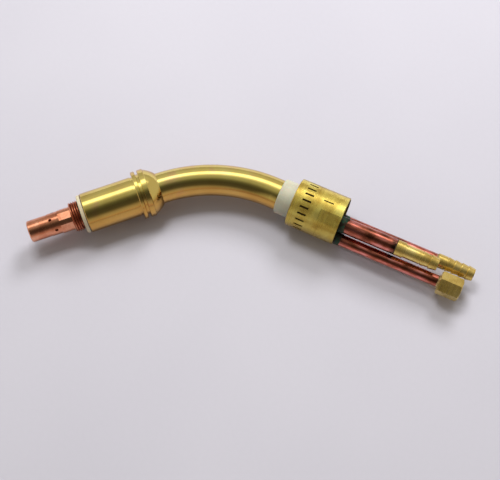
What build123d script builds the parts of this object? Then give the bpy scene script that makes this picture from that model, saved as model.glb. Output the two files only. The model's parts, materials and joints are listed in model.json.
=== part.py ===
from build123d import *
import os
from math import cos, radians, sin, tan

os.makedirs("parts", exist_ok=True)

# Frame: millimetres, +Z up, the neck's bend lies in the XY plane.
# The origin is the centre of the connection block's front face, and +X runs along its axis to the hose end.
# The neck lies on the block's and the nozzle seat's largest diameters.

# Neck bend
bend_angle = 45.0
bend_radius = 76.0
neck_radius = 8.0
neck_bore_radius = 7.0
rear_straight = 4.0
seat_overlap = 8.0
bush_overlap = 2.0

# Lengths of the front stack, from the neck tube forward
shoulder_length = 5.4
rear_ring_width = 3.0
ring_gap = 1.3
front_ring_width = 2.0
seat_gap = 1.1
seat_length = 26.5
flange_width = 1.9
thread_length = 5.0
hexagon_length = 6.3
nose_length = 16.0

# Nozzle seat
seat_radius = 10.25
ring_radius = 12.5
gap_radius = 10.6
shoulder_radius = 12.0
shoulder_bulge = 0.35
neck_lip_width = 1.5

# Front insulator and cooling head
insulator_radius = 8.8
flange_radius = 9.85
head_radius = 8.0
head_thread_radius = 7.75
jacket_wall = 0.8
head_setback = 3.0
jacket_setback = 1.0
groove_start = 13.5
groove_length = 6.0
groove_depth = 1.9
gallery_radius = 1.4

# Tip adaptor
nose_radius = 5.7
nose_tip_radius = 5.55
nose_tip_length = 10.7
hexagon_across_flats = 11.6
hexagon_corner_radius = 6.1
spigot_radius = 5.0
spigot_length = 8.0
spigot_end_gap = 1.0
tip_thread_radius = 3.35
tip_thread_depth = 10.0
gas_chamber_radius = 3.0
gas_chamber_depth = 15.0
port_radius = 0.8
ports_per_row = 3
port_row_1, port_angle_1 = 11.8, 90.0
port_row_2, port_angle_2 = 13.4, 30.0

# Connection block
block_radius = 12.5
block_length = 26.0
bush_radius = 9.1
bush_visible = 7.9
bush_socket_depth = 5.0
slot_count = 22
slot_start = 4.6
slot_length = 4.6
slot_width = 1.0
slot_depth = 1.0
slot_phase = 1.0
index_start = 14.5
index_length = 5.2
index_width = 0.5
index_depth = 0.3
index_angle = 81.5
flat_length = 11.0
flat_width = 6.0
flat_angle = 117.4
recess_rim = 0.6
recess_depth = 2.0
socket_depth = 4.0

# Tubes through the neck and behind the block
wire_bore_radius = 2.5
wire_radius = 3.25
water_radius = 2.0
water_bore_radius = 1.5
tail_radius = 3.0
tail_bore_radius = 2.1
wire_side, wire_height = -1.9, 2.5
supply_side, supply_height = 2.3, -3.4
return_side, return_height = -3.65, -2.5
wire_tail_side, wire_tail_height = -2.6, 3.2
return_tail_side, return_tail_height = -8.35, -2.75
wire_gallery_radius = 2.75
return_gallery_radius = 1.5

# Plastic sleeve around the tubes in the neck
sleeve_wall = 0.4
sleeve_clearance = 0.05

# Tails, nipples and coupling
supply_tail_length = 50.9
wire_tail_length = 29.6
return_tail_length = 55.7
barb_crest_radius = 3.65
barb_root_radius = 3.15
barb_gap = 0.4
barb_land = 0.4
supply_nipple_radius = 3.55
supply_nipple_bore_radius = 2.0
supply_socket_depth = 4.0
supply_nipple_length = 19.3
supply_plain_length = 4.8
supply_barb_count = 4
wire_nipple_radius = 3.5
wire_collar_length = 4.6
wire_nipple_length = 22.2
wire_plain_length = 13.4
wire_barb_count = 2
wire_tail_radius = 4.0
wire_socket_depth = 2.6
coupling_length = 11.3
coupling_across_flats = 10.5
coupling_thread_radius = 3.5
coupling_thread_depth = 7.0
coupling_socket_depth = 4.0
coupling_phase = 32.0

# Edge breaks
fine_chamfer = 0.3
edge_chamfer = 0.5

# Stations worked out from the lengths: rear ones along X, front ones along the front axis from the bend's end
bend_end_x = -(bush_visible + rear_straight)
tangent_length = bend_radius * tan(radians(bend_angle / 2))
bend_vertex = Vector(bend_end_x - tangent_length, 0, 0)
front_direction = Vector(-cos(radians(bend_angle)), -sin(radians(bend_angle)), 0)
front_origin = bend_vertex + front_direction * tangent_length
front_axis = Axis(front_origin, front_direction)
front_section = Plane(origin=front_origin, x_dir=front_direction, z_dir=(0, 0, 1))
front_cross = Plane(origin=front_origin, x_dir=front_section.y_dir, z_dir=front_direction)

rear_ring_start = shoulder_length
gap_start = rear_ring_start + rear_ring_width
front_ring_start = gap_start + ring_gap
seat_gap_start = front_ring_start + front_ring_width
seat_start = seat_gap_start + seat_gap
seat_end = seat_start + seat_length
flange_end = seat_end + flange_width
thread_end = flange_end + thread_length
hexagon_end = thread_end + hexagon_length
nose_end = hexagon_end + nose_length
nose_tip_start = nose_end - nose_tip_length

lip_end = seat_overlap + neck_lip_width
head_start = lip_end + head_setback
jacket_start = head_start + jacket_setback
head_core_radius = head_radius - jacket_wall
head_groove_start = head_start + groove_start
head_groove_end = head_groove_start + groove_length
head_tube_end = head_start + socket_depth
spigot_start = thread_end - spigot_length
head_socket_start = spigot_start - spigot_end_gap

recess_floor_x = block_length - recess_depth
front_socket_end_x = bush_socket_depth + socket_depth
rear_socket_start_x = recess_floor_x - socket_depth
tail_reach = block_length - rear_socket_start_x
sleeve_radius = neck_bore_radius - sleeve_clearance


def on_front(side, height):
    """Offset in the neck's cross-section, seen where the front axis starts."""
    return (-side, height)


def cross_x(x, side=0.0, height=0.0):
    """Plane across the rear axis at a distance x, with its normal along +X."""
    return Plane(origin=(x, side, height), x_dir=(0, 1, 0), z_dir=(1, 0, 0))


def section_x(x, side, height):
    """Plane that holds an axis parallel to X, for turned profiles."""
    return Plane(origin=(x, side, height), x_dir=(1, 0, 0), z_dir=(0, 0, 1))


def bent_tube(outer, inner, side, height, rear_x, front_station):
    """Tube that follows the neck's bend at a constant offset from its axis."""
    with BuildPart() as tube:
        with BuildLine(Plane.XY.offset(height)) as route:
            rear = Line((rear_x, side), (bend_end_x, side))
            centre = (bend_end_x, -bend_radius)
            bend = CenterArc(centre, bend_radius + side, 90, bend_angle)
            Line(bend @ 1, bend @ 1 + front_direction * front_station)
        with BuildSketch(Plane(origin=rear @ 0, z_dir=rear % 0)):
            Circle(outer)
            Circle(inner, mode=Mode.SUBTRACT)
        sweep()
    return tube


def tail_tube(outer, inner, side, height, length):
    """Straight tube brazed into a socket of the block's rear recess."""
    with BuildPart() as tail:
        with BuildSketch(cross_x(rear_socket_start_x, side, height)):
            Circle(outer)
            Circle(inner, mode=Mode.SUBTRACT)
        extrude(amount=tail_reach + length)
    return tail


# Copper nose with gas ports, hexagon and screw spigot
with BuildPart() as tip_adaptor:
    with BuildSketch(front_section):
        with BuildLine():
            Polyline(
                (spigot_start, 0),
                (spigot_start, spigot_radius - edge_chamfer),
                (spigot_start + edge_chamfer, spigot_radius),
                (thread_end, spigot_radius),
                (thread_end, nose_radius),
                (nose_tip_start, nose_radius),
                (nose_tip_start, nose_tip_radius),
                (nose_end - edge_chamfer, nose_tip_radius),
                (nose_end, nose_tip_radius - edge_chamfer),
                (nose_end, 0),
                close=True,
            )
        make_face()
    revolve(axis=front_axis)
    with BuildSketch(front_cross.offset(thread_end)):
        RegularPolygon(hexagon_across_flats / 2, 6, major_radius=False, rotation=0)
        Circle(hexagon_corner_radius, mode=Mode.INTERSECT)
    extrude(amount=hexagon_length)
    with BuildSketch(front_cross.offset(nose_end)):
        Circle(tip_thread_radius)
    extrude(amount=-tip_thread_depth, mode=Mode.SUBTRACT)
    with BuildSketch(front_cross.offset(nose_end)):
        Circle(gas_chamber_radius)
    extrude(amount=-gas_chamber_depth, mode=Mode.SUBTRACT)
    with BuildSketch(front_cross.offset(nose_end)):
        Circle(wire_bore_radius)
    extrude(amount=-(nose_end - spigot_start), mode=Mode.SUBTRACT)
    for row_distance, row_angle in ((port_row_1, port_angle_1), (port_row_2, port_angle_2)):
        row_centre = front_origin + front_direction * (nose_end - row_distance)
        for port in range(ports_per_row):
            angle = radians(row_angle + port * 360 / ports_per_row)
            outward = front_cross.x_dir * cos(angle) + front_cross.y_dir * sin(angle)
            with BuildSketch(Plane(origin=row_centre, x_dir=front_direction, z_dir=outward)):
                Circle(port_radius)
            extrude(amount=hexagon_corner_radius, mode=Mode.SUBTRACT)
tip_adaptor.part.label = "tip_adaptor"

# Copper head: front thread, adaptor socket, water groove and the galleries for wire, supply and return
with BuildPart() as cooling_head:
    with BuildSketch(front_section):
        with BuildLine():
            Polyline(
                (head_start, 0),
                (head_start, head_core_radius),
                (head_groove_start, head_core_radius),
                (head_groove_start, head_core_radius - groove_depth),
                (head_groove_end, head_core_radius - groove_depth),
                (head_groove_end, head_core_radius),
                (seat_end, head_core_radius),
                (seat_end, head_radius),
                (flange_end, head_radius),
                (flange_end, head_thread_radius),
                (thread_end - edge_chamfer, head_thread_radius),
                (thread_end, head_thread_radius - edge_chamfer),
                (thread_end, 0),
                close=True,
            )
        make_face()
    revolve(axis=front_axis)
    with BuildSketch(front_cross.offset(thread_end)):
        Circle(spigot_radius)
    extrude(amount=-(thread_end - head_socket_start), mode=Mode.SUBTRACT)
    with BuildSketch(front_cross.offset(head_start)):
        with Locations(on_front(wire_side, wire_height)):
            Circle(wire_radius)
        with Locations(on_front(supply_side, supply_height), on_front(return_side, return_height)):
            Circle(water_radius)
    extrude(amount=socket_depth, mode=Mode.SUBTRACT)
    with BuildSketch(front_cross.offset(head_tube_end)):
        with Locations(on_front(supply_side, supply_height), on_front(return_side, return_height)):
            Circle(gallery_radius)
    extrude(amount=head_groove_end - head_tube_end, mode=Mode.SUBTRACT)
    with BuildSketch(front_cross.offset(head_tube_end)):
        with Locations(on_front(wire_side, wire_height)):
            Circle(wire_bore_radius)
    with BuildSketch(front_cross.offset(head_socket_start)):
        Circle(wire_bore_radius)
    loft(mode=Mode.SUBTRACT)
cooling_head.part.label = "cooling_head"

# Sleeve brazed over the head, closing its water groove
with BuildPart() as water_jacket:
    with BuildSketch(front_cross.offset(jacket_start)):
        Circle(head_radius)
        Circle(head_core_radius, mode=Mode.SUBTRACT)
    extrude(amount=seat_end - jacket_start)
water_jacket.part.label = "water_jacket"

# Flanged bush between the live head and the nozzle seat
with BuildPart() as front_insulator:
    with BuildSketch(front_section):
        with BuildLine():
            Polyline(
                (lip_end, head_radius),
                (lip_end, insulator_radius),
                (seat_end, insulator_radius),
                (seat_end, flange_radius),
                (flange_end - fine_chamfer, flange_radius),
                (flange_end, flange_radius - fine_chamfer),
                (flange_end, head_radius),
                close=True,
            )
        make_face()
    revolve(axis=front_axis)
front_insulator.part.label = "front_insulator"

# Brass nozzle seat: rounded shoulder, two rings with a groove between them, long plain sleeve
with BuildPart() as nozzle_seat:
    with BuildSketch(front_section):
        with BuildLine():
            Line((0, neck_radius), (0, neck_radius + fine_chamfer))
            SagittaArc(
                (0, neck_radius + fine_chamfer),
                (rear_ring_start, shoulder_radius),
                shoulder_bulge,
            )
            Polyline(
                (rear_ring_start, shoulder_radius),
                (rear_ring_start, ring_radius - fine_chamfer),
                (rear_ring_start + fine_chamfer, ring_radius),
                (gap_start - fine_chamfer, ring_radius),
                (gap_start, ring_radius - fine_chamfer),
                (gap_start, gap_radius),
                (front_ring_start, gap_radius),
                (front_ring_start, ring_radius - fine_chamfer),
                (front_ring_start + fine_chamfer, ring_radius),
                (seat_gap_start - fine_chamfer, ring_radius),
                (seat_gap_start, ring_radius - fine_chamfer),
                (seat_gap_start, seat_radius - fine_chamfer),
                (seat_start, seat_radius - fine_chamfer),
                (seat_start, seat_radius),
                (seat_end - edge_chamfer, seat_radius),
                (seat_end, seat_radius - edge_chamfer),
                (seat_end, insulator_radius),
                (lip_end, insulator_radius),
                (lip_end, neck_bore_radius),
                (seat_overlap, neck_bore_radius),
                (seat_overlap, neck_radius),
                (0, neck_radius),
            )
        make_face()
    revolve(axis=front_axis)
nozzle_seat.part.label = "nozzle_seat"

# Bent neck tube and the plastic sleeve inside it
neck_tube = bent_tube(neck_radius, neck_bore_radius, 0, 0, bush_overlap, seat_overlap)
neck_tube.part.label = "neck_tube"
sleeve_bore_radius = sleeve_radius - sleeve_wall
neck_insulation = bent_tube(sleeve_radius, sleeve_bore_radius, 0, 0, bush_socket_depth, head_start)
neck_insulation.part.label = "neck_insulation"

# Tubes inside the neck: wire and gas, water supply, water return
wire_tube = bent_tube(
    wire_radius, wire_bore_radius, wire_side, wire_height, front_socket_end_x, head_tube_end
)
wire_tube.part.label = "wire_tube"
supply_tube = bent_tube(
    water_radius, water_bore_radius, supply_side, supply_height, front_socket_end_x, head_tube_end
)
supply_tube.part.label = "supply_tube"
return_tube = bent_tube(
    water_radius, water_bore_radius, return_side, return_height, front_socket_end_x, head_tube_end
)
return_tube.part.label = "return_tube"

# Plastic bush between the neck tube and the block
with BuildPart() as rear_bush:
    with BuildSketch(Plane.XY):
        with BuildLine():
            Polyline(
                (-bush_visible, neck_radius),
                (-bush_visible, bush_radius - edge_chamfer),
                (-bush_visible + edge_chamfer, bush_radius),
                (bush_socket_depth, bush_radius),
                (bush_socket_depth, neck_bore_radius),
                (bush_overlap, neck_bore_radius),
                (bush_overlap, neck_radius),
                close=True,
            )
        make_face()
    revolve(axis=Axis.X)
rear_bush.part.label = "rear_bush"

# Brass block: bush socket, slots, index line, flat, rear recess, tube sockets and galleries
with BuildPart() as connection_block:
    with BuildSketch(cross_x(0)):
        Circle(block_radius)
    extrude(amount=block_length)
    rims = connection_block.edges().filter_by(GeomType.CIRCLE).sort_by(Axis.X)
    chamfer([rims[0], rims[-1]], fine_chamfer)
    with BuildSketch(cross_x(0)):
        Circle(bush_radius)
    extrude(amount=bush_socket_depth, mode=Mode.SUBTRACT)
    with BuildSketch(cross_x(block_length)):
        Circle(block_radius - recess_rim)
    extrude(amount=-recess_depth, mode=Mode.SUBTRACT)
    with BuildSketch(cross_x(slot_start)):
        with PolarLocations(block_radius, slot_count, start_angle=slot_phase):
            Rectangle(2 * slot_depth, slot_width)
    extrude(amount=slot_length, mode=Mode.SUBTRACT)
    with BuildSketch(cross_x(index_start)):
        with PolarLocations(block_radius, 1, start_angle=index_angle):
            Rectangle(2 * index_depth, index_width)
    extrude(amount=index_length, mode=Mode.SUBTRACT)
    flat_distance = (block_radius**2 - (flat_width / 2) ** 2) ** 0.5
    with BuildSketch(cross_x(block_length - flat_length)):
        with PolarLocations(flat_distance, 1, start_angle=flat_angle):
            Rectangle(block_radius, 2 * flat_width, align=(Align.MIN, Align.CENTER))
    extrude(amount=flat_length, mode=Mode.SUBTRACT)
    with BuildSketch(cross_x(bush_socket_depth)):
        with Locations((wire_side, wire_height)):
            Circle(wire_radius)
        with Locations((supply_side, supply_height), (return_side, return_height)):
            Circle(water_radius)
    extrude(amount=socket_depth, mode=Mode.SUBTRACT)
    with BuildSketch(cross_x(recess_floor_x)):
        with Locations((wire_tail_side, wire_tail_height)):
            Circle(wire_tail_radius)
        with Locations((supply_side, supply_height), (return_tail_side, return_tail_height)):
            Circle(tail_radius)
    extrude(amount=-socket_depth, mode=Mode.SUBTRACT)
    with BuildSketch(cross_x(front_socket_end_x)):
        with Locations((supply_side, supply_height)):
            Circle(water_bore_radius)
    extrude(amount=rear_socket_start_x - front_socket_end_x, mode=Mode.SUBTRACT)
    with BuildSketch(cross_x(front_socket_end_x)):
        with Locations((wire_side, wire_height)):
            Circle(wire_gallery_radius)
    with BuildSketch(cross_x(rear_socket_start_x)):
        with Locations((wire_tail_side, wire_tail_height)):
            Circle(wire_gallery_radius)
    loft(mode=Mode.SUBTRACT)
    with BuildSketch(cross_x(front_socket_end_x)):
        with Locations((return_side, return_height)):
            Circle(return_gallery_radius)
    with BuildSketch(cross_x(rear_socket_start_x)):
        with Locations((return_tail_side, return_tail_height)):
            Circle(return_gallery_radius)
    loft(mode=Mode.SUBTRACT)
connection_block.part.label = "connection_block"

# Straight copper tails for supply and return water
supply_tail = tail_tube(
    tail_radius,
    tail_bore_radius,
    supply_side,
    supply_height,
    supply_tail_length + supply_socket_depth,
)
supply_tail.part.label = "supply_tail"
return_tail = tail_tube(
    tail_radius,
    tail_bore_radius,
    return_tail_side,
    return_tail_height,
    return_tail_length + coupling_socket_depth,
)
return_tail.part.label = "return_tail"

# Thicker wire tail, bored out at its end to take the nipple's spigot
with BuildPart() as wire_tail:
    wire_tail_end = block_length + wire_tail_length - rear_socket_start_x
    with BuildSketch(section_x(rear_socket_start_x, wire_tail_side, wire_tail_height)):
        with BuildLine():
            Polyline(
                (0, wire_bore_radius),
                (0, wire_tail_radius),
                (wire_tail_end, wire_tail_radius),
                (wire_tail_end, wire_radius),
                (wire_tail_end - wire_socket_depth, wire_radius),
                (wire_tail_end - wire_socket_depth, wire_bore_radius),
                close=True,
            )
        make_face()
    revolve(axis=Axis((0, wire_tail_side, wire_tail_height), (1, 0, 0)))
wire_tail.part.label = "wire_tail"


def hose_nipple(front, start_x, side, height, body_radius, length, plain_length, barb_count):
    """Turned nipple: the outline of its front end, a plain body and barbs that fall towards the open end."""
    first_barb = plain_length + barb_gap
    barb_pitch = (length - first_barb) / barb_count
    outline = front + [(plain_length, body_radius), (plain_length, barb_root_radius)]
    for barb in range(barb_count):
        barb_start = first_barb + barb * barb_pitch
        outline += [
            (barb_start, barb_root_radius),
            (barb_start, barb_crest_radius),
            (barb_start + barb_land, barb_crest_radius),
        ]
    outline += [(length, barb_root_radius), (length, front[0][1])]
    with BuildPart() as nipple:
        with BuildSketch(section_x(start_x, side, height)):
            with BuildLine():
                Polyline(*outline, close=True)
            make_face()
        revolve(axis=Axis((0, side, height), (1, 0, 0)))
    return nipple


# Water supply nipple, slipped over its tail
supply_front = [
    (supply_socket_depth, supply_nipple_bore_radius),
    (supply_socket_depth, tail_radius),
    (0, tail_radius),
    (0, supply_nipple_radius - fine_chamfer),
    (fine_chamfer, supply_nipple_radius),
]
supply_nipple = hose_nipple(
    supply_front,
    block_length + supply_tail_length,
    supply_side,
    supply_height,
    supply_nipple_radius,
    supply_nipple_length,
    supply_plain_length,
    supply_barb_count,
)
supply_nipple.part.label = "supply_nipple"

# Wire and gas nipple, its spigot brazed into the tail and its collar flush with it
wire_front = [
    (-wire_socket_depth, wire_bore_radius),
    (-wire_socket_depth, wire_radius),
    (0, wire_radius),
    (0, wire_tail_radius - fine_chamfer),
    (fine_chamfer, wire_tail_radius),
    (wire_collar_length, wire_tail_radius),
    (wire_collar_length, wire_nipple_radius),
]
wire_nipple = hose_nipple(
    wire_front,
    block_length + wire_tail_length,
    wire_tail_side,
    wire_tail_height,
    wire_nipple_radius,
    wire_nipple_length,
    wire_plain_length,
    wire_barb_count,
)
wire_nipple.part.label = "wire_nipple"

# Hexagon coupling on the return tail, threaded for the water and current hose
coupling_start_x = block_length + return_tail_length
coupling_corner_radius = coupling_across_flats / 2 / cos(radians(30))
coupling_end_radius = coupling_across_flats / 2 - fine_chamfer / 2
coupling_bevel = (coupling_corner_radius - coupling_end_radius) * tan(radians(30))
with BuildPart() as return_coupling:
    with BuildSketch(cross_x(coupling_start_x, return_tail_side, return_tail_height)):
        RegularPolygon(coupling_across_flats / 2, 6, major_radius=False, rotation=coupling_phase)
    extrude(amount=coupling_length)
    with BuildSketch(section_x(coupling_start_x, return_tail_side, return_tail_height)):
        with BuildLine():
            Polyline(
                (0, 0),
                (0, coupling_end_radius),
                (coupling_bevel, coupling_corner_radius),
                (coupling_length - coupling_bevel, coupling_corner_radius),
                (coupling_length, coupling_end_radius),
                (coupling_length, 0),
                close=True,
            )
        make_face()
    revolve(axis=Axis((0, return_tail_side, return_tail_height), (1, 0, 0)), mode=Mode.INTERSECT)
    with BuildSketch(cross_x(coupling_start_x, return_tail_side, return_tail_height)):
        Circle(tail_radius)
    extrude(amount=coupling_socket_depth, mode=Mode.SUBTRACT)
    with BuildSketch(cross_x(coupling_start_x, return_tail_side, return_tail_height)):
        Circle(tail_bore_radius)
    extrude(amount=coupling_length, mode=Mode.SUBTRACT)
    with BuildSketch(cross_x(coupling_start_x + coupling_length, return_tail_side, return_tail_height)):
        Circle(coupling_thread_radius)
    extrude(amount=-coupling_thread_depth, mode=Mode.SUBTRACT)
return_coupling.part.label = "return_coupling"

pieces = [
    tip_adaptor,
    cooling_head,
    water_jacket,
    front_insulator,
    nozzle_seat,
    neck_tube,
    neck_insulation,
    wire_tube,
    supply_tube,
    return_tube,
    rear_bush,
    connection_block,
    supply_tail,
    wire_tail,
    return_tail,
    supply_nipple,
    wire_nipple,
    return_coupling,
]
for piece in pieces:
    export_step(piece.part, f"parts/{piece.part.label}.step")
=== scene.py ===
import bmesh
import bpy
import json
from math import atan2, cos, pi, radians, sin, tau
from mathutils import Matrix, Vector, noise


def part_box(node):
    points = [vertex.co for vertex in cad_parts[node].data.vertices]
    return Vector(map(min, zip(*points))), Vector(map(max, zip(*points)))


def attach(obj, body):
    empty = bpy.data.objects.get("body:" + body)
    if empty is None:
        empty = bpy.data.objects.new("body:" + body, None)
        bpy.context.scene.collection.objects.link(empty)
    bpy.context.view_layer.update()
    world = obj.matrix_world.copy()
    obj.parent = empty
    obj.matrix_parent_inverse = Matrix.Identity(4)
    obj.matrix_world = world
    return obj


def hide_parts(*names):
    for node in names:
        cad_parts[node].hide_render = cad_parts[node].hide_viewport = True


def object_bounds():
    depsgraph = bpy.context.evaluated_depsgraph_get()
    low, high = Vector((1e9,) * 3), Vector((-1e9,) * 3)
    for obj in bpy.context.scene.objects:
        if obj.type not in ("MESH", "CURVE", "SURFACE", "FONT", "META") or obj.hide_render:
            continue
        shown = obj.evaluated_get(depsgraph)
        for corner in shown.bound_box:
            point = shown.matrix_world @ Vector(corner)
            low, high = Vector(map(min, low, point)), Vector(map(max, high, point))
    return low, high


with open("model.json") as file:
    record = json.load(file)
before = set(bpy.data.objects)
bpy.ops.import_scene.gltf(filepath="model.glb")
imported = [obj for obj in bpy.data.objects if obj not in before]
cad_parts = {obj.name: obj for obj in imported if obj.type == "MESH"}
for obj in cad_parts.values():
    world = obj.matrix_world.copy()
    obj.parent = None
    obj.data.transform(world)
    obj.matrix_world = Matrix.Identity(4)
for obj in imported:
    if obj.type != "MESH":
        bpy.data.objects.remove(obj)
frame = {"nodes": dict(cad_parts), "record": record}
cad_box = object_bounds()
nodes = frame["nodes"]
mounts = {mount["name"]: mount for mount in frame["record"]["mounts"]}
scene = bpy.context.scene

MM = 0.001
up = Vector((0, 0, 1))


def mount_place(name):
    return Vector(mounts[name]["pos_m"])


def mount_axis(name):
    return Vector(mounts[name]["axis"]).normalized()


def mount_size(name, key):
    return mounts[name]["dims"][key] * MM


# The rear axis is X through the origin, and the front axis runs out to the nose's open end
rear_direction = Vector((1, 0, 0))
front_direction = mount_axis("contact_tip_thread")
front_turn = -atan2(front_direction.y, front_direction.x)

# Connection block: its round body, the recess in its rear face and the index line on its side
collar_radius = mount_size("handle_collar", "r_mm")
collar_length = mount_size("handle_collar", "length_mm")
recess_depth = 2 * MM
index_angle = radians(81.5)
index_half_width = 0.45 * MM
index_start, index_end = 14.3 * MM, 19.9 * MM

# Neck tube and the front insulator's flange
neck_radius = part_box("neck_tube")[1][2]
flange_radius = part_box("front_insulator")[1][2]
flange_width = 1.9 * MM

# Thread on the cooling head, a plain cylinder in the frame
thread_middle = mount_place("head_thread")
thread_radius = mount_size("head_thread", "r_mm")
thread_half_length = mount_size("head_thread", "length_mm") / 2
thread_root = thread_radius - 0.6 * MM
thread_pitch = 1.15 * MM
thread_turns = 3.6

# Threads in the bores
bore_thread_pitch = 1.0 * MM
bore_thread_depth = 0.3 * MM
bore_thread_gap = 0.8 * MM

# Tail tubes: a point on each one's centre line, and its radius
tail_places = {
    "supply": mount_place("supply_hose"),
    "wire": mount_place("wire_liner_bore"),
    "return": mount_place("return_thread"),
}
tail_radii = {name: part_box(f"{name}_tail")[1][1] - place.y for name, place in tail_places.items()}

# How far an added piece's edge lies inside the piece that carries it, and how thin it ends outside
sunk = 0.05 * MM
thin_edge = 0.01 * MM

# Photograph's viewing angle: the picture's right and back directions lie on the table
picture_turn = radians(24.7)
picture_right = Vector((cos(picture_turn), sin(picture_turn), 0))
picture_back = Vector((-sin(picture_turn), cos(picture_turn), 0))

# Room around the table, by the angle from the back horizon over the top to the front horizon, in degrees
room_bands = [
    (0, (0.44, 0.44, 0.43)),
    (18, (0.48, 0.47, 0.45)),
    (27, (0.57, 0.56, 0.53)),
    (36, (0.56, 0.55, 0.52)),
    (42, (0.75, 0.75, 0.72)),
    (47, (1.60, 1.60, 1.55)),
    (52, (2.10, 2.10, 2.05)),
    (61, (2.10, 2.10, 2.05)),
    (66, (1.15, 1.15, 1.10)),
    (71, (0.74, 0.74, 0.70)),
    (78, (0.44, 0.45, 0.41)),
    (91, (0.34, 0.35, 0.31)),
    (97, (0.23, 0.23, 0.20)),
    (104, (0.13, 0.13, 0.11)),
    (112, (0.08, 0.08, 0.065)),
    (124, (0.058, 0.053, 0.047)),
    (142, (0.075, 0.065, 0.055)),
    (150, (0.14, 0.115, 0.10)),
    (158, (0.27, 0.21, 0.19)),
    (168, (0.40, 0.32, 0.29)),
    (180, (0.60, 0.52, 0.48)),
]
# Degrees by which the bands lie nearer to the back horizon at the picture's right
room_lean = 18
# Pale side walls: they begin to show where a direction's sideways share passes the first value,
# and cover the bands past the second
room_sides = (0.52, 0.47, 0.41)
sides_start, sides_full = 0.35, 0.6

# Tones of the metals, from tarnished over middling to bare
neck_tones = ((0.78, 0.57, 0.15), (0.86, 0.67, 0.19), (0.88, 0.72, 0.23))
collar_tones = ((0.56, 0.37, 0.06), (0.86, 0.67, 0.14), (0.97, 0.86, 0.24))
fitting_tones = ((0.56, 0.38, 0.09), (0.80, 0.58, 0.16), (0.90, 0.70, 0.26))
braze_tones = ((0.16, 0.10, 0.05), (0.5, 0.36, 0.15), (0.72, 0.58, 0.3))
nose_tones = ((0.52, 0.17, 0.09), (0.78, 0.31, 0.17), (0.90, 0.44, 0.27))
neck_blush = (0.85, 0.52, 0.24)
# Painted shade: share of the bare metal's colour that is left on faces that look to the sides or down, which
# it darkens and reddens
neck_painted_shade = (0.68, 0.50, 0.44)
collar_painted_shade = (0.62, 0.56, 0.48)
# Colour of the painted shade in the block's slots, index line and recess
recess_shade_colour = (0.10, 0.06, 0.02)
# Colour of the painted shade at the foot of the cooling head's thread
thread_root_shade_colour = (0.13, 0.04, 0.022)
burnt_copper = (0.05, 0.03, 0.02)

# Where brazing has burnt the tails: up to the block, and in a band on the wire tail before its nipple
burnt_full, burnt_end = 27 * MM, 33 * MM
band_start, band_full, band_fading, band_end = 52 * MM, 54.5 * MM, 55.6 * MM, 57 * MM


def add_camera():
    """Camera above the front of the table, looking down at the neck."""
    target = Vector((-0.01186, -0.02832, 0))
    distance = 0.42503
    elevation = radians(70)
    place = target - picture_back * distance * cos(elevation) + up * distance * sin(elevation)
    data = bpy.data.cameras.new("camera")
    data.sensor_width = 36
    data.lens = 61.2
    data.clip_start = 0.01
    camera = bpy.data.objects.new("camera", data)
    camera.location = place
    camera.rotation_euler = (target - place).to_track_quat("-Z", "Y").to_euler()
    scene.collection.objects.link(camera)
    scene.camera = camera


def add_light(name, side, elevation, distance, size, power, colour):
    """Rectangular light above the table behind the neck, aimed at it. Side is how far it stands to the
    picture's right for each 1 back. It doesn't show in reflections, which the room's bands give."""
    target = Vector((-0.01, -0.025, 0))
    flat = (picture_back + picture_right * side).normalized()
    direction = flat * cos(elevation) + up * sin(elevation)
    data = bpy.data.lights.new(name, "AREA")
    data.shape = "RECTANGLE"
    data.size, data.size_y = size
    data.energy = power
    data.color = colour
    light = bpy.data.objects.new(name, data)
    light.location = target + direction * distance
    light.rotation_euler = (-direction).to_track_quat("-Z", "Y").to_euler()
    light.visible_glossy = False
    scene.collection.objects.link(light)


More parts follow.
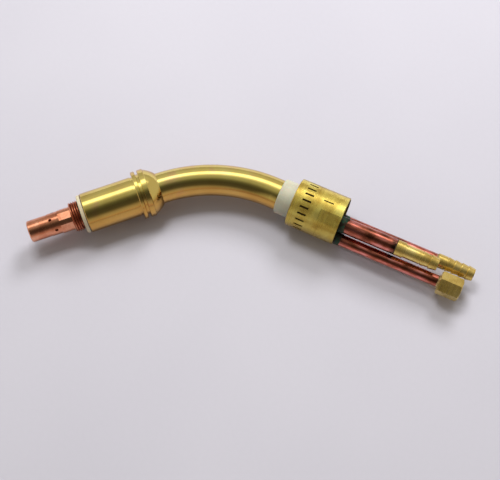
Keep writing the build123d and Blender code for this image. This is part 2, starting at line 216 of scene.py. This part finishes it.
def add_room():
    """World whose light comes in bands: a bright strip behind, a dark ceiling and front, pale side walls.
    What lies below the table's edge mirrors the bands above it."""
    world = bpy.data.worlds.new("room")
    world.use_nodes = True
    scene.world = world
    tree = world.node_tree
    tree.nodes.clear()
    link = tree.links.new

    def node(kind, **settings):
        made = tree.nodes.new(kind)
        for key, value in settings.items():
            setattr(made, key, value)
        return made

    coordinates = node("ShaderNodeTexCoord").outputs["Generated"]
    split = node("ShaderNodeSeparateXYZ")
    depth = node("ShaderNodeVectorMath", operation="DOT_PRODUCT")
    depth.inputs[1].default_value = picture_back
    side = node("ShaderNodeVectorMath", operation="DOT_PRODUCT")
    side.inputs[1].default_value = picture_right
    for target in (split.inputs[0], depth.inputs[0], side.inputs[0]):
        link(coordinates, target)
    height = node("ShaderNodeMath", operation="ABSOLUTE")
    link(split.outputs["Z"], height.inputs[0])
    angle = node("ShaderNodeMath", operation="ARCTAN2")
    link(height.outputs[0], angle.inputs[0])
    link(depth.outputs["Value"], angle.inputs[1])
    half_turns = node("ShaderNodeMath", operation="DIVIDE")
    half_turns.inputs[1].default_value = pi
    link(angle.outputs[0], half_turns.inputs[0])
    leaning = node("ShaderNodeMath", operation="MULTIPLY_ADD", use_clamp=True)
    leaning.inputs[1].default_value = room_lean / 180
    link(side.outputs["Value"], leaning.inputs[0])
    link(half_turns.outputs[0], leaning.inputs[2])
    ramp = node("ShaderNodeValToRGB")
    link(leaning.outputs[0], ramp.inputs["Fac"])
    stops = ramp.color_ramp.elements
    while len(stops) < len(room_bands):
        stops.new(0.5)
    for stop, (degrees, colour) in zip(stops, room_bands):
        stop.position = degrees / 180
        stop.color = (*colour, 1)
    sideways = node("ShaderNodeMath", operation="ABSOLUTE")
    link(side.outputs["Value"], sideways.inputs[0])
    wall = node("ShaderNodeMapRange", interpolation_type="SMOOTHSTEP")
    wall.inputs["From Min"].default_value = sides_start
    wall.inputs["From Max"].default_value = sides_full
    link(sideways.outputs[0], wall.inputs["Value"])
    mixed = node("ShaderNodeMix", data_type="RGBA")
    link(wall.outputs[0], mixed.inputs[0])
    link(ramp.outputs["Color"], mixed.inputs[6])
    mixed.inputs[7].default_value = (*room_sides, 1)
    background = node("ShaderNodeBackground")
    link(mixed.outputs[2], background.inputs["Color"])
    link(background.outputs[0], node("ShaderNodeOutputWorld").inputs["Surface"])


def rgb(colour):
    """Three values of a colour, which may be given as one grey value."""
    return colour if isinstance(colour, tuple) else (colour, colour, colour)


class Shader:
    """Small helper that builds one node material around a Principled shader."""

    def __init__(self, name):
        self.material = bpy.data.materials.new(name)
        self.material.use_nodes = True
        self.tree = self.material.node_tree
        self.principled = self.tree.nodes["Principled BSDF"]
        self.object_coordinates = self.tree.nodes.new("ShaderNodeTexCoord").outputs["Object"]

    def set(self, **values):
        """Uniform values, set on the shader's own sockets."""
        for socket, value in values.items():
            socket_name = socket.replace("_", " ").title().replace("Ior", "IOR")
            self.principled.inputs[socket_name].default_value = value

    def link(self, output, socket):
        self.tree.links.new(output, self.principled.inputs[socket])

    def feed(self, socket, value):
        """Links an output to a node's socket, or sets the socket to a plain value."""
        if isinstance(value, bpy.types.NodeSocket):
            self.tree.links.new(value, socket)
        else:
            socket.default_value = value

    def node(self, kind, settings=(), **inputs):
        """New node: settings are its attributes, inputs are values or outputs for its sockets.
        A socket is given by its name, or by a line and its number."""
        made = self.tree.nodes.new(kind)
        for name, value in dict(settings).items():
            setattr(made, name, value)
        for name, value in inputs.items():
            self.feed(made.inputs[int(name[1:])] if name[0] == "_" else made.inputs[name], value)
        return made

    def mapped(self, scale=(1, 1, 1), turn=0.0, shift=(0, 0, 0)):
        """Object coordinates in metres, turned about Z by an angle, then scaled, then shifted."""
        settings = {"rotation_type": "Z_AXIS"}
        turned = self.node("ShaderNodeVectorRotate", settings, Vector=self.object_coordinates, Angle=turn)
        made = self.node("ShaderNodeMapping", Vector=turned.outputs[0], Scale=scale, Location=shift)
        return made.outputs[0]

    def noise(self, vector, scale, detail=3.0, roughness=0.55):
        """Noise from 0 to 1, with the given number of lumps in a metre."""
        values = {"Scale": scale, "Detail": detail, "Roughness": roughness}
        return self.node("ShaderNodeTexNoise", Vector=vector, **values).outputs["Fac"]

    def ramp(self, value, *stops):
        """Colour ramp from (position, colour) stops."""
        made = self.node("ShaderNodeValToRGB", Fac=value)
        elements = made.color_ramp.elements
        while len(elements) < len(stops):
            elements.new(0.5)
        for element, (position, colour) in zip(elements, stops):
            element.position = position
            element.color = (*rgb(colour), 1)
        return made.outputs["Color"]

    def mix(self, factor, a, b, blend="MIX"):
        made = self.node("ShaderNodeMix", {"data_type": "RGBA", "blend_type": blend}, _0=factor)
        for index, value in ((6, a), (7, b)):
            linked = isinstance(value, bpy.types.NodeSocket)
            self.feed(made.inputs[index], value if linked else (*rgb(value), 1))
        return made.outputs[2]

    def math(self, operation, a, b=0.0):
        return self.node("ShaderNodeMath", {"operation": operation}, _0=a, _1=b).outputs[0]

    def plus(self, a, b):
        return self.math("ADD", a, b)

    def times(self, *factors):
        product = factors[0]
        for factor in factors[1:]:
            product = self.math("MULTIPLY", product, factor)
        return product

    def between(self, value, low, high):
        """1 at or above high, 0 at or below low, smooth between them. High may be the smaller one."""
        made = self.node("ShaderNodeMapRange", {"interpolation_type": "SMOOTHSTEP"}, Value=value)
        made.inputs["From Min"].default_value = low
        made.inputs["From Max"].default_value = high
        return made.outputs[0]

    def axes(self, turn=0.0, shift=(0, 0, 0)):
        """Distance along the axis, the two across it, and the radius from it."""
        split = self.node("ShaderNodeSeparateXYZ", Vector=self.mapped(turn=turn, shift=shift))
        x, y, z = split.outputs
        return x, y, z, self.math("SQRT", self.plus(self.times(y, y), self.times(z, z)))

    def low_side(self):
        """1 on faces that look to the sides or down, 0 on those that look up: the mask where shade is
        painted.
        """
        normal = self.node("ShaderNodeNewGeometry").outputs["Normal"]
        return self.between(self.node("ShaderNodeSeparateXYZ", Vector=normal).outputs["Z"], 0.72, 0.56)

    def bump(self, height, distance, normal=None):
        made = self.node("ShaderNodeBump", Height=height, Distance=distance)
        if normal is not None:
            self.tree.links.new(normal, made.inputs["Normal"])
        return made.outputs["Normal"]


def turned_metal(
    name, tones, roughness, turn=0.0, lines=1.0, wavy=0.3, metallic=1.0, painted_crease_shade=None, painted_side_shade=None
):
    """Lathe-turned metal: fine rings along the axis, slow waves, fine pits and clouds of tarnished tone.
    A painted crease shade is a function that returns a mask and the colour of the shade painted there.
    Painted side shade darkens the faces that look to the sides or down."""
    shader = Shader(name)
    along = shader.mapped(scale=(1, 0.02, 0.02), turn=turn)
    rings = shader.noise(along, 5200 * lines, detail=4.0, roughness=0.7)
    coarse_rings = shader.noise(along, 900 * lines, detail=2.0)
    even = shader.mapped(turn=turn)
    clouds = shader.noise(even, 130, detail=5.0)
    pits = shader.noise(even, 2600, detail=2.0)
    dark, middle, light = tones
    tint = shader.ramp(clouds, (0.32, dark), (0.5, middle), (0.7, light))
    ring_tint = shader.ramp(rings, (0.3, 0.84), (0.65, 1.0))
    colour = shader.mix(1.0, tint, ring_tint, "MULTIPLY")
    ring_gloss = shader.ramp(coarse_rings, (0.3, roughness * 0.75), (0.7, roughness * 1.3))
    cloud_gloss = shader.ramp(clouds, (0.3, roughness * 1.5), (0.7, roughness * 0.7))
    rough = shader.mix(0.35, ring_gloss, cloud_gloss)
    # Painted shade: the faces that look to the sides or down are darkened
    if painted_side_shade:
        colour = shader.mix(shader.low_side(), colour, painted_side_shade, "MULTIPLY")
    # Painted shade in creases and recesses, in its own colour
    if painted_crease_shade:
        mask, crease_shade_colour = painted_crease_shade(shader)
        colour = shader.mix(mask, colour, crease_shade_colour)
        rough = shader.mix(mask, rough, 0.7)
    shader.link(colour, "Base Color")
    shader.link(rough, "Roughness")
    waves = shader.bump(shader.noise(even, 60, detail=1.0), 0.6 * MM * wavy)
    relief = shader.plus(shader.times(rings, 0.6), shader.times(pits, 0.12))
    shader.link(shader.bump(relief, 0.012 * MM, normal=waves), "Normal")
    shader.set(metallic=metallic)
    return shader.material


def recess_painted_shade(shader):
    """Painted shade, brown-black, in the block's slots, index line and rear recess, and on its faces below
    the outer surface.
    """
    x, y, z, radius = shader.axes()
    deep = shader.between(radius, collar_radius - 0.45 * MM, collar_radius - 0.7 * MM)
    outward = shader.plus(shader.times(y, cos(index_angle)), shader.times(z, sin(index_angle)))
    across = shader.plus(shader.times(y, -sin(index_angle)), shader.times(z, cos(index_angle)))
    index = shader.times(
        shader.between(shader.math("ABSOLUTE", across), index_half_width, index_half_width - 0.2 * MM),
        shader.between(outward, collar_radius - 1.5 * MM, collar_radius - 0.5 * MM),
        shader.between(x, index_start, index_start + 0.3 * MM),
        shader.between(x, index_end, index_end - 0.3 * MM),
    )
    return shader.math("MAXIMUM", deep, shader.times(index, 0.9)), recess_shade_colour


def thread_root_painted_shade(shader):
    """Painted shade at the foot of the cooling head's thread."""
    middle = Matrix.Rotation(front_turn, 3, "Z") @ thread_middle
    x, _, _, radius = shader.axes(front_turn, -middle)
    foot = shader.between(radius, thread_radius - 0.3 * MM, thread_radius - 0.55 * MM)
    distance = shader.math("ABSOLUTE", x)
    beside = shader.between(distance, thread_half_length + 0.35 * MM, thread_half_length + 0.25 * MM)
    return shader.times(foot, beside), thread_root_shade_colour


def polished_brass():
    """Buffed brass of the neck and the nozzle seat: mirror-like, with haze, scratches, pink blush, and
    painted shade that darkens and reddens the faces that look to the sides or down.
    """
    shader = Shader("brass_polished")
    even = shader.mapped()
    clouds = shader.noise(even, 70, detail=6.0)
    haze = shader.noise(even, 320, detail=4.0)
    blush = shader.between(shader.noise(shader.mapped(shift=(3, 5, 1)), 95, detail=4.0), 0.56, 0.72)
    dark, middle, light = neck_tones
    tint = shader.ramp(clouds, (0.3, dark), (0.5, middle), (0.72, light))
    blushed = shader.mix(shader.times(blush, 0.6), tint, neck_blush)
    # Painted shade: the faces that look to the sides or down are darkened and reddened
    shader.link(shader.mix(shader.low_side(), blushed, neck_painted_shade, "MULTIPLY"), "Base Color")
    shader.link(shader.ramp(haze, (0.3, 0.05), (0.75, 0.12)), "Roughness")
    scratches = shader.noise(shader.mapped(scale=(1, 0.12, 1), turn=radians(30)), 4200, detail=3.0)
    waves = shader.bump(shader.noise(even, 45, detail=1.5), 0.14 * MM)
    shader.link(shader.bump(scratches, 0.006 * MM, normal=waves), "Normal")
    shader.set(metallic=1.0)
    return shader.material


def drawn_copper():
    """Copper tube, reddened and darkened by brazing heat, in streaks that run along it."""
    shader = Shader("copper_tube")
    along = shader.mapped(scale=(0.12, 1, 1))
    streaks = shader.noise(along, 900, detail=5.0, roughness=0.65)
    clouds = shader.noise(shader.mapped(scale=(0.4, 1, 1)), 330, detail=5.0)
    specks = shader.noise(shader.mapped(), 3000, detail=3.0)
    red = shader.ramp(
        clouds,
        (0.32, (0.17, 0.05, 0.03)),
        (0.44, (0.42, 0.125, 0.07)),
        (0.53, (0.66, 0.19, 0.13)),
        (0.63, (0.82, 0.28, 0.24)),
        (0.75, (0.88, 0.47, 0.36)),
    )
    streaked = shader.mix(0.6, red, shader.ramp(streaks, (0.36, 0.4), (0.6, 1.0)), "MULTIPLY")
    x, y, _, _ = shader.axes()
    near_block = shader.between(x, burnt_end, burnt_full)
    beside_wire = shader.math("ABSOLUTE", shader.math("SUBTRACT", y, tail_places["wire"].y))
    wire_band = shader.times(
        shader.between(x, band_start, band_full),
        shader.between(x, band_end, band_fading),
        shader.between(beside_wire, tail_radii["wire"] + 0.3 * MM, tail_radii["wire"] + 0.1 * MM),
    )
    burnt = shader.math("MAXIMUM", near_block, wire_band)
    patchy = shader.times(burnt, shader.between(clouds, 0.7, 0.4))
    shader.link(shader.mix(patchy, streaked, burnt_copper), "Base Color")
    shader.link(shader.ramp(clouds, (0.3, 0.24), (0.7, 0.1)), "Roughness")
    shader.link(shader.bump(shader.plus(streaks, specks), 0.015 * MM), "Normal")
    shader.set(metallic=1.0)
    return shader.material


def plastic(name, colour, dark, roughness, subsurface, grain):
    """Insulating plastic: slightly cloudy, soft at the edges, with a fine grain and pale specks."""
    shader = Shader(name)
    even = shader.mapped()
    clouds = shader.noise(even, 190, detail=4.0)
    specks = shader.between(shader.noise(even, 2100, detail=1.0), 0.70, 0.75)
    tint = shader.ramp(clouds, (0.3, dark), (0.65, colour))
    shader.link(shader.mix(shader.times(specks, 0.7), tint, (0.9, 0.9, 0.86)), "Base Color")
    fine = shader.noise(even, grain, detail=3.0)
    shader.link(shader.ramp(fine, (0.3, roughness * 0.85), (0.7, roughness * 1.15)), "Roughness")
    shader.link(shader.bump(fine, 0.03 * MM), "Normal")
    shader.set(subsurface_weight=subsurface, subsurface_scale=2 * MM, ior=1.5)
    return shader.material


def braze_metal():
    """Braze run round a joint: dull, uneven, partly dark with burnt flux."""
    shader = Shader("braze")
    even = shader.mapped()
    clouds = shader.noise(even, 700, detail=4.0)
    dark, middle, light = braze_tones
    tint = shader.ramp(clouds, (0.35, dark), (0.5, middle), (0.7, light))
    shader.link(tint, "Base Color")
    shader.link(shader.ramp(clouds, (0.3, 0.6), (0.7, 0.3)), "Roughness")
    shader.link(shader.bump(shader.noise(even, 1500, detail=3.0), 0.06 * MM), "Normal")
    shader.set(metallic=0.9)
    return shader.material


def flux_glass():
    """Glassy flux left at the tube roots, black-brown with green copper salts."""
    shader = Shader("flux")
    even = shader.mapped()
    clouds = shader.noise(even, 420, detail=4.0)
    tint = shader.ramp(
        clouds,
        (0.38, (0.012, 0.010, 0.007)),
        (0.5, (0.03, 0.024, 0.014)),
        (0.58, (0.008, 0.055, 0.03)),
        (0.7, (0.06, 0.05, 0.03)),
    )
    shader.link(tint, "Base Color")
    shader.link(shader.ramp(clouds, (0.3, 0.35), (0.7, 0.7)), "Roughness")
    shader.link(shader.bump(shader.noise(even, 1300, detail=3.0), 0.1 * MM), "Normal")
    shader.set(specular_ior_level=0.25)
    return shader.material


def seam_dirt_and_shade():
    """Dark line of dirt and shadow in a joint."""
    shader = Shader("seam")
    clouds = shader.noise(shader.mapped(), 900)
    shader.link(shader.ramp(clouds, (0.3, (0.02, 0.014, 0.008)), (0.7, (0.07, 0.05, 0.03))), "Base Color")
    shader.link(shader.ramp(clouds, (0.3, 0.6), (0.7, 0.8)), "Roughness")
    return shader.material


def table_surface():
    """Pale matt table top with a faint, broad unevenness."""
    shader = Shader("table")
    even = shader.mapped()
    broad = shader.noise(even, 7, detail=2.0)
    fine = shader.noise(even, 420, detail=3.0)
    tint = shader.ramp(broad, (0.35, (0.535, 0.527, 0.590)), (0.65, (0.555, 0.547, 0.610)))
    speckle = shader.ramp(fine, (0.3, 0.75), (0.7, 1.0))
    shader.link(shader.mix(0.05, tint, speckle, "MULTIPLY"), "Base Color")
    shader.link(shader.bump(fine, 0.01 * MM), "Normal")
    shader.set(roughness=0.75, specular_ior_level=0.2)
    return shader.material


def new_piece(name, vertices, faces, material):
    """Mesh piece in the frame's own coordinates, its faces turned outward."""
    mesh = bpy.data.meshes.new(name)
    mesh.from_pydata(vertices, [], faces)
    made = bmesh.new()
    made.from_mesh(mesh)
    bmesh.ops.recalc_face_normals(made, faces=made.faces)
    for face in made.faces:
        face.smooth = True
    made.to_mesh(mesh)
    made.free()
    piece = bpy.data.objects.new(name, mesh)
    scene.collection.objects.link(piece)
    mesh.materials.append(material)
    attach(piece, "root")
    return piece


def around(axis, angle):
    """Unit vector across a level axis, at an angle from its side towards the top."""
    return up.cross(axis).normalized() * cos(angle) + up * sin(angle)


def skin(rings):
    """Four-sided faces from each closed ring of vertex numbers to the next."""
    faces = []
    for a, b in zip(rings, rings[1:]):
        nexts = [*range(1, len(a)), 0]
        faces += [(a[point], a[after], b[after], b[point]) for point, after in enumerate(nexts)]
    return faces


def uneven_ring(name, centre, axis, profile, material, wobble=0.0, segments=72):
    """Closed ring round an axis from a closed outline of (distance along, radius) points.
    Wobble moves its outer points in and out by noise, so that a run of braze or flux looks poured."""
    lump = 9 * MM
    rooted_height = 0.2 * MM
    stretch = 0.56 if wobble else 0.0
    innermost = min(radius for _, radius in profile)
    vertices = []
    for step in range(segments):
        outward = around(axis, tau * step / segments)
        for along, radius in profile:
            place = centre + outward * radius + axis * along
            swing = noise.noise(place / lump) + 0.5 * noise.noise(place * 2.2 / lump)
            share = min(1.0, (radius - innermost) / rooted_height)
            grown = radius + wobble * swing * share
            stretched = along * (1 + stretch * swing * share)
            vertices.append(centre + outward * grown + axis * stretched)
    count = len(profile)
    rings = [range(step * count, (step + 1) * count) for step in (*range(segments), 0)]
    return new_piece(name, vertices, skin(rings), material)


def helix_ridge(start, axis, root, crest, pitch, turns, first_index=0):
    """Vertices and faces of one thread ridge: a blunt triangle on a helix, faded out at both ends."""
    steps_per_turn = 72
    fading_steps = 10
    steps = int(turns * steps_per_turn)
    half_foot, half_top = pitch * 0.46, pitch * 0.08
    vertices = []
    for step in range(steps + 1):
        outward = around(axis, tau * step / steps_per_turn)
        top = root + (crest - root) * min(1.0, step / fading_steps, (steps - step) / fading_steps)
        middle = start + axis * pitch * step / steps_per_turn
        for along, radius in ((-half_foot, root), (-half_top, top), (half_top, top), (half_foot, root)):
            vertices.append(middle + outward * radius + axis * along)
    rings = [range(first_index + step * 4, first_index + step * 4 + 4) for step in range(steps + 1)]
    return vertices, skin(rings) + [tuple(rings[0]), tuple(rings[-1])]


def crisp_edges(piece):
    """Shades round walls smooth and keeps the turned edges crisp."""
    sharpest_smooth = radians(25)
    made = bmesh.new()
    made.from_mesh(piece.data)
    bmesh.ops.remove_doubles(made, verts=made.verts, dist=1e-7)
    for edge in made.edges:
        edge.smooth = len(edge.link_faces) == 2 and edge.calc_face_angle(pi) < sharpest_smooth
    made.to_mesh(piece.data)
    made.free()


def threaded_head():
    """Cooling head with a real thread: its cylinder shrinks to the root and carries a helical ridge."""
    reach = 0.1 * MM
    mesh = nodes["cooling_head"].data
    vertices = []
    for vertex in mesh.vertices:
        along = (vertex.co - thread_middle).dot(front_direction)
        radial = vertex.co - thread_middle - front_direction * along
        place = vertex.co.copy()
        if along > -thread_half_length - reach and thread_root < radial.length < thread_radius + reach:
            place = thread_middle + front_direction * along + radial.normalized() * thread_root
        vertices.append(place)
    faces = [tuple(polygon.vertices) for polygon in mesh.polygons]
    start = thread_middle - front_direction * (thread_half_length - thread_pitch / 2)
    foot = thread_root - 0.03 * MM
    ridge_vertices, ridge_faces = helix_ridge(
        start, front_direction, foot, thread_radius, thread_pitch, thread_turns, len(vertices)
    )
    slot = "copper_turned"
    piece = new_piece("threaded_head", vertices + ridge_vertices, faces + ridge_faces, finishes[slot])
    crisp_edges(piece)
    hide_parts("cooling_head")


def bore_thread(name, mount, slot):
    """Thread ridge on a threaded bore's wall, a little short of its ends."""
    axis = mount_axis(mount)
    radius = mount_size(mount, "r_mm")
    length = mount_size(mount, "length_mm") - 2 * bore_thread_gap
    start = mount_place(mount) - axis * (length + bore_thread_gap)
    foot, crest = radius + 0.02 * MM, radius - bore_thread_depth
    turns = length / bore_thread_pitch
    vertices, faces = helix_ridge(start, axis, foot, crest, bore_thread_pitch, turns)
    crisp_edges(new_piece(name, vertices, faces, finishes[slot]))


def on_tail(name, x):
    """Point on a tail's centre line."""
    return Vector((x, tail_places[name].y, tail_places[name].z))


def flux_crust(name):
    """Rounded crust of flux on a tail's root in the block's recess."""
    length, thickness = 5.2 * MM, 0.32 * MM
    radius = tail_radii[name]
    outline = [
        (-sunk, radius - sunk),
        (-sunk, radius + thickness),
        ((length - sunk) / 2, radius + thickness * 0.8),
        (length - thickness, radius + thickness * 0.45),
        (length, radius + thin_edge),
        (length, radius - sunk),
    ]
    root = on_tail(name, collar_length - recess_depth)
    uneven_ring(f"flux_{name}", root, rear_direction, outline, flux, wobble=0.22 * MM)


def braze_run(name, face, foot, height):
    """Concave run of braze between a tail and the face of the fitting on its rear end."""
    radius = tail_radii[name]
    outline = [
        (-sunk, radius - sunk),
        (-sunk, radius + height),
        (foot * 0.18, radius + height * 0.5),
        (foot * 0.5, radius + height * 0.18),
        (foot, radius + thin_edge),
        (foot, radius - sunk),
    ]
    place = on_tail(name, face)
    uneven_ring(f"braze_{name}", place, -rear_direction, outline, braze, wobble=0.1 * MM)


def add_seam(name, place, direction, radius):
    """Thin dark ring in a joint, of dirt and painted shade."""
    half_width, depth, height = 0.16 * MM, 0.06 * MM, 0.05 * MM
    inner, outer = radius - depth, radius + height
    outline = [(-half_width, inner), (-half_width, outer), (half_width, outer), (half_width, inner)]
    uneven_ring(name, place, direction, outline, seam, segments=96)


def add_table():
    bpy.ops.mesh.primitive_plane_add(size=2.4, location=(0, 0, cad_box[0][2]))
    table = bpy.context.object
    table.name = "table"
    table.data.materials.append(table_surface())


finishes = {
    "brass_polished": polished_brass(),
    "brass_turned": turned_metal(
        "brass_turned",
        collar_tones,
        0.24,
        lines=0.8,
        wavy=0.6,
        metallic=0.82,
        painted_crease_shade=recess_painted_shade,
        painted_side_shade=collar_painted_shade,
    ),
    "brass_fitting": turned_metal("brass_fitting", fitting_tones, 0.24, lines=0.9, wavy=0.5, metallic=0.85),
    "copper_turned": turned_metal("copper_turned", nose_tones, 0.2, front_turn, painted_crease_shade=thread_root_painted_shade),
    "copper_tube": drawn_copper(),
    "insulator_cream": plastic("insulator_cream", (0.62, 0.55, 0.38), (0.50, 0.43, 0.28), 0.5, 0.1, 1800),
    "insulator_milky": plastic("insulator_milky", (0.53, 0.51, 0.39), (0.42, 0.42, 0.32), 0.38, 0.3, 1500),
    "insulator_sleeve": plastic("insulator_sleeve", (0.86, 0.85, 0.80), (0.78, 0.77, 0.72), 0.45, 0.2, 1500),
}
braze, flux, seam = braze_metal(), flux_glass(), seam_dirt_and_shade()

scene.view_settings.view_transform = "Standard"
add_camera()
add_room()

for subpart in frame["record"]["subparts"]:
    materials = nodes[subpart["node"]].data.materials
    materials.clear()
    materials.append(finishes[subpart["material_slot"]])

threaded_head()
bore_thread("tip_thread", "contact_tip_thread", "copper_turned")
bore_thread("coupling_thread", "return_thread", "brass_fitting")

for name in tail_places:
    flux_crust(name)
braze_run("return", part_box("return_coupling")[0][0], 0.9 * MM, 0.6 * MM)
braze_run("supply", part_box("supply_nipple")[0][0], 0.7 * MM, 0.45 * MM)

# Dark seams of dirt and painted shade: nipple collar on the wire tail, neck tube in its bush, rear edge of
# the insulator's flange
wire_end = on_tail("wire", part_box("wire_tail")[1][0])
bush_face = Vector((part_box("rear_bush")[0][0], 0, 0))
flange_rear = thread_middle - front_direction * (thread_half_length + flange_width)
add_seam("seam_wire", wire_end, rear_direction, tail_radii["wire"])
add_seam("seam_bush", bush_face, rear_direction, neck_radius)
add_seam("seam_flange", flange_rear, front_direction, flange_radius)

add_table()
add_light("key", -0.35, radians(65), 0.85, (0.3, 0.2), 3.1, (1.0, 0.99, 0.98))
add_light("window", 0.4, radians(42), 0.9, (0.3, 0.3), 5.0, (1.0, 0.99, 1.0))
